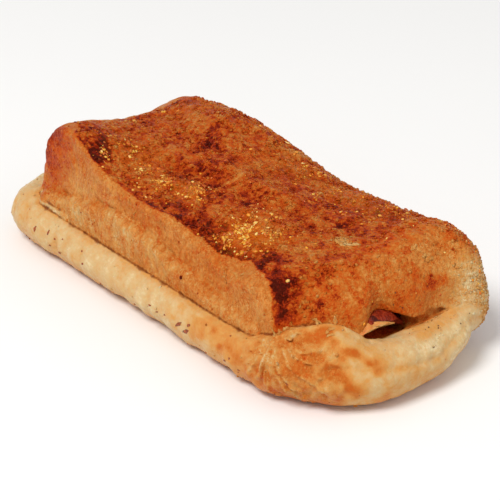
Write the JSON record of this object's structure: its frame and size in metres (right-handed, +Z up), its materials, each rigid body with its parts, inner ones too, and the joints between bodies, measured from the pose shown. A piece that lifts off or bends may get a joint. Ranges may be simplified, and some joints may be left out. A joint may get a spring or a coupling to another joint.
{
  "type": "ham and cheese pastry",
  "caption": "Baked folded puff pastry with a ham and cheese filling that shows at its open end; a hand-held savoury snack that lies flat.",
  "frame": {"origin": "middle of the footprint, on the surface that the pastry lies on", "axes": "+X towards the open end, +Y towards the fold, +Z up; the cut side with its pale rim faces -Y"},
  "size_m": [0.1587, 0.0726, 0.0416],
  "materials": {
    "crust": "baked, browned and lightly glazed on top, pale at the rim",
    "ham": "moist, browned at its edge",
    "cheese": "melted and baked"
  },
  "bodies": {
    "root": {"pastry": "crust", "ham": "ham", "cheese": "cheese"}
  },
  "joints": []
}
